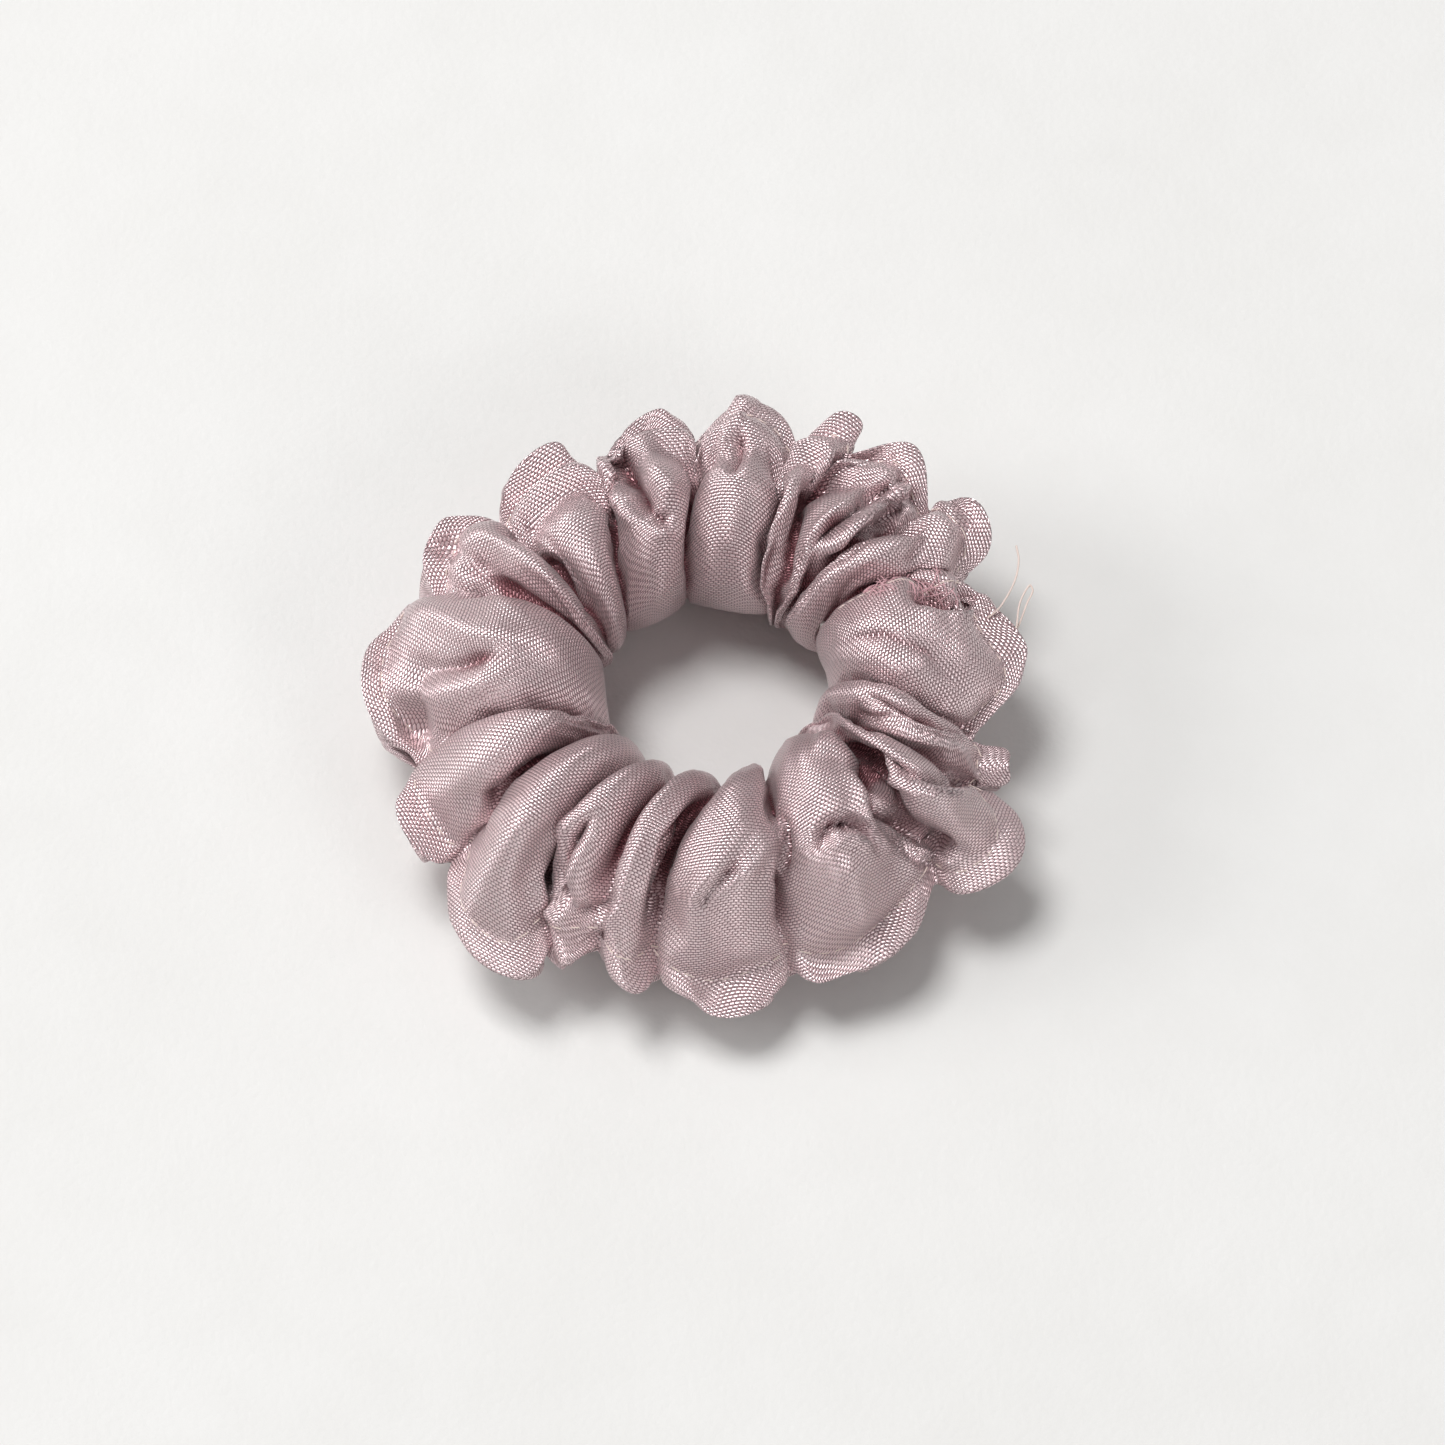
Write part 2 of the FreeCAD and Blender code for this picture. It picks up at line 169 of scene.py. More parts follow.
def alongStrip():
    # settings of every section round the ring, evenly spaced along the rounded folds
    count, ends, cells = len(folds), foldEnds(), foldCells()
    crest = {key: foldRow(key) for key in ("frill", "reach", "droop", "back")}
    rows = {key: [] for key in (*ends, "depth", "round", *crest)}
    depth, slip = (np.append(foldRow(key), foldRow(key)[0]) for key in ("depth", "slip"))
    for i in range(count):
        q = np.arange(cells[i]) / cells[i]
        x = -np.cos(np.pi * q)                       # -1 in the first valley, 0 at the crest, 1 in the next
        share = (x + 1) / 2
        hollow = 1 - np.sqrt(np.clip(1 - x * x, 0, 1))
        shift = hollow * np.where(x < 0, slip[i], slip[i + 1])
        for key, end in ends.items():
            rows[key].append(end[i] + (end[i + 1] - end[i]) * share + shift)
        rows["depth"].append(hollow * np.where(x < 0, depth[i], depth[i + 1]))
        rows["round"].append(cover["roundOff"] * np.abs(x) ** cover["roundPower"])
        for key, value in crest.items():
            other = np.where(x < 0, value[i - 1], value[(i + 1) % count])
            swing = (1 - np.cos(np.pi * np.abs(x))) / 4
            rows[key].append(value[i] + (other - value[i]) * swing)
    return {key: np.concatenate(parts) for key, parts in rows.items()}


def smoothWeights(knots, places):
    # matrix that takes values at the knots to a smooth curve's values at the places
    count = len(knots)
    slopes = np.zeros((count, count))
    for k in range(count):
        a, b = max(k - 1, 0), min(k + 1, count - 1)
        slopes[k, a] -= 1 / (knots[b] - knots[a])
        slopes[k, b] += 1 / (knots[b] - knots[a])
    weights = np.zeros((len(places), count))
    spanOf = np.clip(np.searchsorted(knots, places, side="right") - 1, 0, count - 2)
    for row, (place, k) in enumerate(zip(places, spanOf)):
        width = knots[k + 1] - knots[k]
        q = (place - knots[k]) / width
        weights[row, k] += 2 * q ** 3 - 3 * q * q + 1
        weights[row, k + 1] += 3 * q * q - 2 * q ** 3
        weights[row] += (q ** 3 - 2 * q * q + q) * width * slopes[k]
        weights[row] += (q ** 3 - q * q) * width * slopes[k + 1]
    return weights


def coverPoints():
    # places of the cloth in mm, one row for each section round the ring
    row = alongStrip()
    hemEnd, back = cover["frillEnd"] - cover["hem"], cover["valleyBack"]
    inside = [(hemEnd, "f", cover["hemLevel"]), (cover["hemTip"], "f", cover["hemLevel"])]
    lip = [(cover["lipOut"], "f", cover["lipLevel"])]
    crest = inside + lip + crestOutline + [(p[0], "f", -p[2]) for p in (lip + inside[::-1])]
    valley = [(p[0] - back, "f", p[2]) for p in inside + lip] + valleyOutline + \
             [(p[0] - back, "f", -p[2]) for p in lip + inside[::-1]]
    flat = [(p[0], p[2] + cover["frillLevel"] if p[1] == "f" else p[1]) for p in crest]
    steps = np.hypot(*np.diff(np.array(flat), axis=0).T)
    knots = np.concatenate([[0], np.cumsum(steps)])
    fine = []                                        # closer cells at the lips, where the cloth turns
    for k in range(len(steps)):
        near = min(k, len(steps) - 1 - k)
        cells = 1 if near in (1, 2) else max(2, int(round(cover["across"] * steps[k] / knots[-1])))
        fine += [knots[k] + steps[k] * c / cells for c in range(cells)]
    fine.append(knots[-1])
    fine = np.array(fine)
    weights = smoothWeights(knots, fine)
    depth = row["depth"][:, None]
    reachOut = np.array([c[0] for c in crest]) * (1 - depth) + np.array([v[0] for v in valley]) * depth
    isFrill = np.array([c[1] == "f" for c in crest])
    levelC = np.array([c[2] if c[1] == "f" else c[1] for c in crest])
    levelV = np.array([v[2] if v[1] == "f" else v[1] for v in valley])
    level = levelC * (1 - depth) + levelV * depth
    frill = row["frill"] - cover["valleyFrill"] * row["depth"]
    level = level + np.where(isFrill, frill[:, None], 0)
    droopFrom = cover["droopFrom"] - cover["droopValley"] * depth
    tipward = np.clip((reachOut - droopFrom) / cover["droopOver"], 0, cover["droopMost"])
    level = level - tipward * row["droop"][:, None]
    outward = np.clip((reachOut - cover["reachFrom"]) / cover["reachOver"], 0, 1)
    inward = np.clip((cover["backFrom"] - reachOut) / cover["backOver"], 0, 1)
    reachOut = reachOut + inward * row["back"][:, None]
    reachOut = reachOut + outward * row["reach"][:, None] - tipward * row["round"][:, None]
    reachOut, level = reachOut @ weights.T, level @ weights.T
    inner, outer = np.radians(row["inner"]), np.radians(row["outer"])
    start = cover["holeRadius"] * np.stack([np.cos(inner), np.sin(inner)], 1)
    end = cover["outerRadius"] * np.stack([np.cos(outer), np.sin(outer)], 1)
    middle = (start + end) / 2
    bend = np.radians(row["crown"]) - np.unwrap(np.arctan2(middle[:, 1], middle[:, 0]))
    bend = (bend + np.pi) % (2 * np.pi) - np.pi
    place = start[:, None, :] + ((end - start) / cover["outlineEnd"])[:, None, :] * reachOut[:, :, None]
    share = np.clip(reachOut / cover["outlineEnd"], -0.05, 1.05)
    turn = bend[:, None] * 4 * share * (1 - share)
    x = place[:, :, 0] * np.cos(turn) - place[:, :, 1] * np.sin(turn)
    y = place[:, :, 0] * np.sin(turn) + place[:, :, 1] * np.cos(turn)
    return np.stack([x + ring[0], y + ring[1], level], 2)


def photoPixels(points):
    # where the camera sees places given in mm, in the photograph's pixels
    aim = np.array(view["aim"]) / mm
    sine, cosine = math.sin(view["elevation"]), math.cos(view["elevation"])
    offset = points - aim
    right = offset[..., 0]
    up = offset[..., 1] * sine + offset[..., 2] * cosine
    away = view["distance"] / mm - (offset[..., 2] * sine - offset[..., 1] * cosine)
    scale = view["pixels"] / (view["frameWidth"] / mm) * view["distance"] / mm / away
    half = view["pixels"] / 2
    return half + right * scale, half - up * scale


pressing = {
    "fall": 1.5,                                     # how quickly a groove rises away from its line
    "lip": 0.45, "lipPlace": 1.5, "lipWidth": 0.7,   # the lip on one side, as shares of depth and width
    "reach": 5, "fade": 4, "endShare": 0.2,
    "facing": 0.15, "facingRise": 3,                 # fades where the cloth turns from the camera
    "lowest": 5, "lowRise": 3,                       # fades near the table, in mm
}


def pressCreases(points):
    # grooves with a lip beside them, pressed along the normals of what the camera sees
    normal = gridNormals(points)
    facing = normal[..., 2] * math.sin(view["elevation"]) - normal[..., 1] * math.cos(view["elevation"])
    seen = np.clip((facing + pressing["facing"]) * pressing["facingRise"], 0, 1)
    seen = seen * np.clip((points[..., 2] - pressing["lowest"]) / pressing["lowRise"], 0, 1)
    px, py = photoPixels(points)
    press = np.zeros(px.shape)
    for line, depth, firstWidth, lastWidth in creases.values():
        line = np.array(line, float)
        legs = np.hypot(*np.diff(line, axis=0).T)
        marks = np.concatenate([[0], np.cumsum(legs)]) / legs.sum()
        nearest, along, side = np.full(px.shape, 1e9), np.zeros(px.shape), np.ones(px.shape)
        for k in range(len(legs)):
            way = line[k + 1] - line[k]
            offX, offY = px - line[k, 0], py - line[k, 1]
            q = np.clip((offX * way[0] + offY * way[1]) / legs[k] ** 2, 0, 1)
            away = np.hypot(offX - q * way[0], offY - q * way[1])
            closer = away < nearest
            nearest = np.where(closer, away, nearest)
            along = np.where(closer, marks[k] + q * (marks[k + 1] - marks[k]), along)
            side = np.where(closer, np.sign(way[0] * offY - way[1] * offX), side)
        spread = nearest / (firstWidth + (lastWidth - firstWidth) * along)
        fade = np.clip(np.minimum(along, 1 - along) * pressing["fade"] + pressing["endShare"], 0, 1)
        lip = np.exp(-((spread - pressing["lipPlace"]) / pressing["lipWidth"]) ** 2) * (side > 0)
        groove = np.exp(-spread * pressing["fall"]) - pressing["lip"] * lip
        shape = groove if depth > 0 else np.exp(-spread ** 2)
        press += depth * fade * np.where(spread < pressing["reach"], shape, 0)
    return points - normal * (press * seen)[..., None]


def gridNormals(points):
    # outward unit normals of a grid that is closed along its first axis
    along = np.roll(points, -1, 0) - np.roll(points, 1, 0)
    across = np.gradient(points, axis=1)
    normal = np.cross(along, across)
    return normal / np.maximum(np.linalg.norm(normal, axis=2, keepdims=True), 1e-9)


def stripLengths(points, finer):
    # for each cell, the lengths of cloth in mm at its four corners: along the strip, measured in
    # every row from the crest of its fold, and across it, measured in every section from the crown
    around, across = points.shape[:2]
    cells = foldCells() * finer
    crown = across // 3
    stepU = np.linalg.norm(np.roll(points, -1, 0) - points, axis=2)
    stepV = np.linalg.norm(np.diff(points, axis=1), axis=2)
    v = np.concatenate([np.zeros((around, 1)), np.cumsum(stepV, 1)], 1)
    v = v - v[:, crown:crown + 1]
    v = sum(np.roll(v, k, 0) for k in range(-4 * finer, 4 * finer + 1)) / (8 * finer + 1)
    left, start, base = np.empty((around, across)), 0, 0.0
    for count in cells:
        reach = np.concatenate([np.zeros((1, across)), np.cumsum(stepU[start:start + count], 0)])
        whole = reach[count, crown]
        left[start:start + count] = reach[:count] - reach[count // 2] + base + whole / 2
        base += whole
        start += count
    right = left + stepU
    vNext = np.roll(v, -1, 0)
    corners = [(left[:, :-1], v[:, :-1]), (right[:, :-1], vNext[:, :-1]), (right[:, 1:], vNext[:, 1:]),
               (left[:, 1:], v[:, 1:])]
    print("strip", round(base), "mm long,", round(float(np.ptp(v))), "mm across")
    return np.stack([np.stack(corner, 2) for corner in corners], 2)


def meshGrid(name, points, uv, material):
    # mesh of a grid that is closed along its first axis, from places in metres
    around, across = points.shape[:2]
    index = np.arange(around * across).reshape(around, across)
    following = np.roll(index, -1, 0)
    faces = np.stack([index[:, :-1], following[:, :-1], following[:, 1:], index[:, 1:]], 2).reshape(-1, 4)
    mesh = bpy.data.meshes.new(name)
    mesh.from_pydata(points.reshape(-1, 3).tolist(), [], faces.tolist())
    mesh.polygons.foreach_set("use_smooth", np.ones(len(faces), bool))
    mesh.uv_layers.new(name="strip").data.foreach_set("uv", uv.reshape(-1).astype(np.float32))
    mesh.materials.append(material)
    mesh.update()
    piece = bpy.data.objects.new(name, mesh)
    bpy.context.scene.collection.objects.link(piece)
    return piece


# Short hands for shader nodes, whose values are numbers, colours or other nodes' sockets
def mathNode(tree, operation, *values):
    node = tree.nodes.new("ShaderNodeMath")
    node.operation = operation
    for socket, value in zip(node.inputs, values):
        if isinstance(value, (int, float)):
            socket.default_value = value
        else:
            tree.links.new(value, socket)
    return node.outputs[0]


def mixColour(tree, share, first, second):
    node = tree.nodes.new("ShaderNodeMix")
    node.data_type = "RGBA"
    for socket, value in zip((node.inputs[0], node.inputs[6], node.inputs[7]), (share, first, second)):
        if isinstance(value, (int, float, tuple)):
            socket.default_value = value
        else:
            tree.links.new(value, socket)
    return node.outputs[2]


def noiseNode(tree, vector, scale, detail=2.0):
    node = tree.nodes.new("ShaderNodeTexNoise")
    node.inputs["Scale"].default_value = scale
    node.inputs["Detail"].default_value = detail
    tree.links.new(vector, node.inputs["Vector"])
    return node.outputs["Fac"]


satin = {
    "float": 0.70, "pick": 0.43, "step": 0.5,        # a float's length and row spacing in mm, rows' offset
    "waver": 0.35, "waverScale": 350,                # how far, in mm, the yarns wander from straight
    "roundness": 2.0, "diveSharpness": 3.0, "gapSharpness": 2.2, "relief": 0.09 * mm,
    # the deep colour is painted shade in the gaps where each yarn dives under
    "thread": (0.90, 0.645, 0.67, 1), "glint": (0.99, 0.86, 0.875, 1), "deep": (0.08, 0.015, 0.024, 1),
    "uneven": 0.25, "cloud": 0.3, "cloudScale": 60,  # yarn by yarn and broad changes of colour
    "roughness": 0.29, "metallic": 0.62, "anisotropic": 0.5,
    "gloss": 0.95, "glossRoughness": 0.26, "glossIndex": 2.4, "sheen": 0.2, "sheenRoughness": 0.4,
    # painted shade in the creases: a dark colour mixed in by how far in mm they lie below the cloth so many
    # sections away
    "crease": (0.24, 0.07, 0.085, 1), "creaseReach": 5, "creaseFrom": 0.10, "creaseFull": 0.85,
    "creaseMost": 0.9, "creaseEnd": 35, "creaseFade": 6,
}


def makeSatin():
    # floats of yarn in rows across the strip, with painted shade in the small gaps where each dives under,
    # and painted shade in the creases
    material = bpy.data.materials.new("satin")
    material.use_nodes = True
    tree = material.node_tree
    shader = tree.nodes["Principled BSDF"]
    strip = tree.nodes.new("ShaderNodeUVMap")
    strip.uv_map = "strip"
    place = tree.nodes.new("ShaderNodeTexCoord").outputs["Object"]
    parts = tree.nodes.new("ShaderNodeSeparateXYZ")
    tree.links.new(strip.outputs["UV"], parts.inputs[0])
    wander = mathNode(tree, "SUBTRACT", noiseNode(tree, place, satin["waverScale"]), 0.5)
    waver = mathNode(tree, "MULTIPLY", wander, satin["waver"])
    along = mathNode(tree, "ADD", parts.outputs["X"], waver)
    across = mathNode(tree, "ADD", parts.outputs["Y"], waver)
    row = mathNode(tree, "DIVIDE", across, satin["pick"])
    rowNumber = mathNode(tree, "FLOOR", row)
    inRow = mathNode(tree, "MULTIPLY", mathNode(tree, "SUBTRACT", mathNode(tree, "FRACT", row), 0.5), 2)
    column = mathNode(tree, "MULTIPLY_ADD", rowNumber, satin["step"],
                      mathNode(tree, "DIVIDE", along, satin["float"]))
    inColumn = mathNode(tree, "SUBTRACT", mathNode(tree, "FRACT", column), 0.5)
    inColumn = mathNode(tree, "MULTIPLY", inColumn, 2)
    edge = mathNode(tree, "POWER", mathNode(tree, "ABSOLUTE", inRow), satin["roundness"])
    dive = mathNode(tree, "POWER", mathNode(tree, "ABSOLUTE", inColumn), satin["diveSharpness"])
    height = mathNode(tree, "MULTIPLY", mathNode(tree, "SUBTRACT", 1, edge),
                      mathNode(tree, "SUBTRACT", 1, dive))
    # share of painted shade in the gaps between floats
    paintedGapShade = mathNode(tree, "POWER", mathNode(tree, "SUBTRACT", 1, height), satin["gapSharpness"])
    cell = tree.nodes.new("ShaderNodeTexWhiteNoise")
    cell.noise_dimensions = "2D"
    cellPlace = tree.nodes.new("ShaderNodeCombineXYZ")
    tree.links.new(rowNumber, cellPlace.inputs[0])
    tree.links.new(mathNode(tree, "FLOOR", column), cellPlace.inputs[1])
    tree.links.new(cellPlace.outputs[0], cell.inputs["Vector"])
    uneven = mathNode(tree, "MULTIPLY", cell.outputs["Value"], satin["uneven"])
    cloud = mathNode(tree, "MULTIPLY", noiseNode(tree, place, satin["cloudScale"], 3), satin["cloud"])
    yarn = mixColour(tree, mathNode(tree, "ADD", uneven, cloud), satin["thread"], satin["glint"])
    # painted shade: the crease colour is mixed into the yarn where the cloth lies in a hollow, and the gloss
    # is lowered there
    hollow = tree.nodes.new("ShaderNodeAttribute")
    hollow.attribute_name = "hollow"
    shaded = mixColour(tree, hollow.outputs["Fac"], yarn, satin["crease"])
    colour = mixColour(tree, paintedGapShade, shaded, satin["deep"])
    tree.links.new(colour, shader.inputs["Base Color"])
    shader.inputs["Roughness"].default_value = satin["roughness"]
    shader.inputs["Metallic"].default_value = satin["metallic"]
    shader.inputs["Anisotropic"].default_value = satin["anisotropic"]
    # less gloss where the crease shade is painted
    glossOutsidePaintedShade = mathNode(tree, "MULTIPLY_ADD", hollow.outputs["Fac"], -satin["gloss"], satin["gloss"])
    tree.links.new(mathNode(tree, "MULTIPLY", height, glossOutsidePaintedShade), shader.inputs["Coat Weight"])
    shader.inputs["Coat Roughness"].default_value = satin["glossRoughness"]
    shader.inputs["Coat IOR"].default_value = satin["glossIndex"]
    shader.inputs["Sheen Weight"].default_value = satin["sheen"]
    shader.inputs["Sheen Roughness"].default_value = satin["sheenRoughness"]
    tangent = tree.nodes.new("ShaderNodeTangent")
    tangent.direction_type, tangent.uv_map = "UV_MAP", "strip"
    tree.links.new(tangent.outputs[0], shader.inputs["Tangent"])
    bump = tree.nodes.new("ShaderNodeBump")
    bump.inputs["Distance"].default_value = satin["relief"]
    bump.inputs["Strength"].default_value = 1
    tree.links.new(height, bump.inputs["Height"])
    tree.links.new(bump.outputs[0], shader.inputs["Normal"])
    tree.links.new(bump.outputs[0], shader.inputs["Coat Normal"])
    return material


settle = {
    "scale": 20,                         # the cloth solver works in larger units than a scrunchie's
    "growth": 0.10,                      # spare cloth in the body, which buckles into small wrinkles
    "frames": 11, "quality": 5, "mass": 0.3, "airDamping": 4,
    "pressure": 1.3, "stiffness": 40, "bending": 1.0, "damping": 10, "bendingDamping": 0.8,
    "sewing": 5, "sewnRows": (0, 4),                 # rows of the two hems that are sewn to each other
    "selfDistance": 0.0055, "tableDistance": 0.004, "tableThickness": 0.002,
    "waist": 12 * mm, "waistRadius": 13.5 * mm, "band": 2,    # rows held by the elastic
    "frill": 39 * mm, "frillHold": 0.12, "frillGrowth": 0.8,
    "drawnIn": 2.4, "drawnFrom": 26, "drawnOver": 14,
    "smoothing": (0.12, 0.5), "smoothFrom": 33, "smoothOver": 5,
    "underside": 12,                     # only what lies lower is moved to rest on the table, in mm
    "most": 4 * mm,
}


def settleCloth(piece, shape):
    # lets the cloth buckle between the elastic, which holds it, and the sewn frill
    scale, count = settle["scale"], shape[0] * shape[1]
    before = np.empty(count * 3)
    piece.data.vertices.foreach_get("co", before)
    before = before.reshape(-1, 3)
    index = np.arange(count).reshape(shape)
    radius = np.hypot(before[:, 0] - ring[0] * mm, before[:, 1] - ring[1] * mm)
    radius = radius.reshape(shape).mean(0)
    level = before[:, 2].reshape(shape).mean(0)
    waist = int(np.argmin(np.hypot(radius - settle["waistRadius"], level - settle["waist"])))
    hold, grow = np.zeros(shape), np.ones(shape)
    for row in range(-settle["band"], settle["band"] + 1):
        hold[:, waist + row] = 1 - 0.5 * abs(row) / settle["band"]
    hold[:, radius > settle["frill"]] = settle["frillHold"]
    grow[:, radius > settle["frill"]] = settle["frillGrowth"]
    ties = [(int(a), int(b)) for row in settle["sewnRows"]
            for a, b in zip(index[:, row], index[:, shape[1] - 1 - row])]
    mesh = bpy.data.meshes.new("settling")
    mesh.from_pydata((before * scale).tolist(), ties, [tuple(p.vertices) for p in piece.data.polygons])
    cloth = bpy.data.objects.new("settling", mesh)
    bpy.context.scene.collection.objects.link(cloth)
    for name, weights in (("hold", hold), ("grow", grow)):
        group = cloth.vertex_groups.new(name=name)
        for number, weight in enumerate(weights.reshape(-1)):
            group.add([number], float(weight), "REPLACE")
    modifier = cloth.modifiers.new("cloth", "CLOTH")
    fabric, contact = modifier.settings, modifier.collision_settings
    fabric.quality, fabric.mass = settle["quality"], settle["mass"]
    fabric.air_damping = settle["airDamping"]
    fabric.tension_stiffness = fabric.compression_stiffness = settle["stiffness"]
    fabric.shear_stiffness, fabric.bending_stiffness = settle["stiffness"] / 2, settle["bending"]
    fabric.tension_damping = fabric.compression_damping = fabric.shear_damping = settle["damping"]
    fabric.bending_damping = settle["bendingDamping"]
    fabric.vertex_group_mass, fabric.vertex_group_shrink = "hold", "grow"
    fabric.shrink_min, fabric.shrink_max = 0, -settle["growth"]
    fabric.use_pressure, fabric.uniform_pressure_force = True, settle["pressure"]
    fabric.use_sewing_springs, fabric.sewing_force_max = True, settle["sewing"]
    fabric.effector_weights.gravity = 0
    contact.use_self_collision, contact.self_distance_min = True, settle["selfDistance"]
    contact.use_collision, contact.distance_min = True, settle["tableDistance"]
    contact.collision_quality = 2
    bpy.ops.mesh.primitive_plane_add(size=10, location=(0, 0, -settle["tableDistance"]))
    table = bpy.context.object
    table.modifiers.new("collision", "COLLISION")
    table.collision.thickness_outer = settle["tableThickness"]
    scene = bpy.context.scene
    modifier.point_cache.frame_end = scene.frame_end = settle["frames"] + 1
    for step in range(1, settle["frames"] + 1):
        scene.frame_set(step)
    settled = cloth.evaluated_get(bpy.context.evaluated_depsgraph_get()).to_mesh()
    after = np.empty(count * 3)
    settled.vertices.foreach_get("co", after)
    move = after.reshape(-1, 3) / scale - before
    bpy.data.objects.remove(cloth)
    bpy.data.objects.remove(table)
    scene.frame_set(1)
    far = np.linalg.norm(move, axis=1, keepdims=True)
    move *= np.minimum(1, settle["most"] / np.maximum(far, 1e-9))
    print("cloth settled: moved", far.mean() / mm, "mm, at most", far.max() / mm)
    return (before + move).reshape(shape + (3,)) / mm


def finer(points):
    # halves the cells both ways, with a smooth curve through the old places
    ahead, behind, next2 = np.roll(points, -1, 0), np.roll(points, 1, 0), np.roll(points, -2, 0)
    between = (9 * (points + ahead) - behind - next2) / 16
    points = np.stack([points, between], 1).reshape(-1, points.shape[1], 3)
    first, last = 2 * points[:, :1] - points[:, 1:2], 2 * points[:, -1:] - points[:, -2:-1]
    padded = np.concatenate([first, points, last], 1)
    between = (9 * (padded[:, 1:-2] + padded[:, 2:-1]) - padded[:, :-3] - padded[:, 3:]) / 16
    woven = np.stack([points[:, :-1], between], 2).reshape(len(points), -1, 3)
    return np.concatenate([woven, points[:, -1:]], 1)


def smoothed(points):
    # takes the solver's grain out, more at the frill than in the body
    out = np.linalg.norm(points[..., :2] - np.array(ring), axis=2)
    share = (out - settle["smoothFrom"]) / settle["smoothOver"]
    share = np.clip(share, *settle["smoothing"])[..., None]
    points = points + share * ((np.roll(points, 1, 0) + np.roll(points, -1, 0)) / 2 - points)
    middle = points[:, 1:-1] + share[:, 1:-1] * ((points[:, :-2] + points[:, 2:]) / 2 - points[:, 1:-1])
    return np.concatenate([points[:, :1], middle, points[:, -1:]], 1)


def drawOut(points):
    # puts the frill back where the swelling body has drawn it in
    offset = points[..., :2] - np.array(ring)
    radius = np.linalg.norm(offset, axis=2, keepdims=True)
    more = settle["drawnIn"] * np.clip((radius - settle["drawnFrom"]) / settle["drawnOver"], 0, 1)
    return np.concatenate([points[..., :2] + offset / radius * more, points[..., 2:]], 2)


def restOnTable(points):
    # lowers the underside until the lowest place touches the table
    low, under = points[..., 2].min(), settle["underside"]
    points[..., 2] -= low * np.clip((under - points[..., 2]) / (under - low), 0, 1)
    return points


def paintedCreaseShade(points):
    # share of painted crease shade, from how far, in mm, each place lies below the cloth on both sides of it
    # along the strip
    reach = satin["creaseReach"]
    beside = (np.roll(points, reach, 0) + np.roll(points, -reach, 0)) / 2
    below = ((beside - points) * gridNormals(points)).sum(2)
    out = np.linalg.norm(points[..., :2] - np.array(ring), axis=2)
    inBody = np.clip((satin["creaseEnd"] - out) / satin["creaseFade"], 0, 1)
    share = (below - satin["creaseFrom"]) / (satin["creaseFull"] - satin["creaseFrom"])
    return np.clip(share, 0, satin["creaseMost"]) * inBody


def makeCover(points):
    piece = meshGrid("satin_cover", points * mm, stripLengths(points, 2), makeSatin())
    # the share of painted crease shade, for the satin's colour
    shade = piece.data.attributes.new("hollow", "FLOAT", "POINT")
    shade.data.foreach_set("value", paintedCreaseShade(points).reshape(-1).astype(np.float32))
    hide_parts("cover_near", "cover_far")
    followCloth(piece)


def followCloth(piece):
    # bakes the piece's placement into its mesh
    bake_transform(piece)


def settledPoints():
    points = coverPoints()
    loose = meshGrid("loose", points * mm, stripLengths(points, 1), bpy.data.materials.new("loose"))
    points = drawOut(settleCloth(loose, points.shape[:2]))
    bpy.data.objects.remove(loose)
    points = smoothed(smoothed(points))
    return restOnTable(pressCreases(finer(points)))


def plainMaterial(name, colour, roughness, sheen=0.3):
    material = bpy.data.materials.new(name)
    material.use_nodes = True
    shader = material.node_tree.nodes["Principled BSDF"]
    shader.inputs["Base Color"].default_value = colour
    shader.inputs["Roughness"].default_value = roughness
    shader.inputs["Sheen Weight"].default_value = sheen
    return material


thread = {
    "radius": 0.09 * mm, "pitch": 2.5 * mm, "length": 1.95 * mm, "rise": 0.10 * mm, "dip": 0.14 * mm,
    "colour": (0.80, 0.66, 0.60, 1), "roughness": 0.5,
    "seam": 37.2,                        # how far out the frill's stitch line runs, in mm
    "hemRows": 6,                        # rows of cloth at each edge that are turned in
}


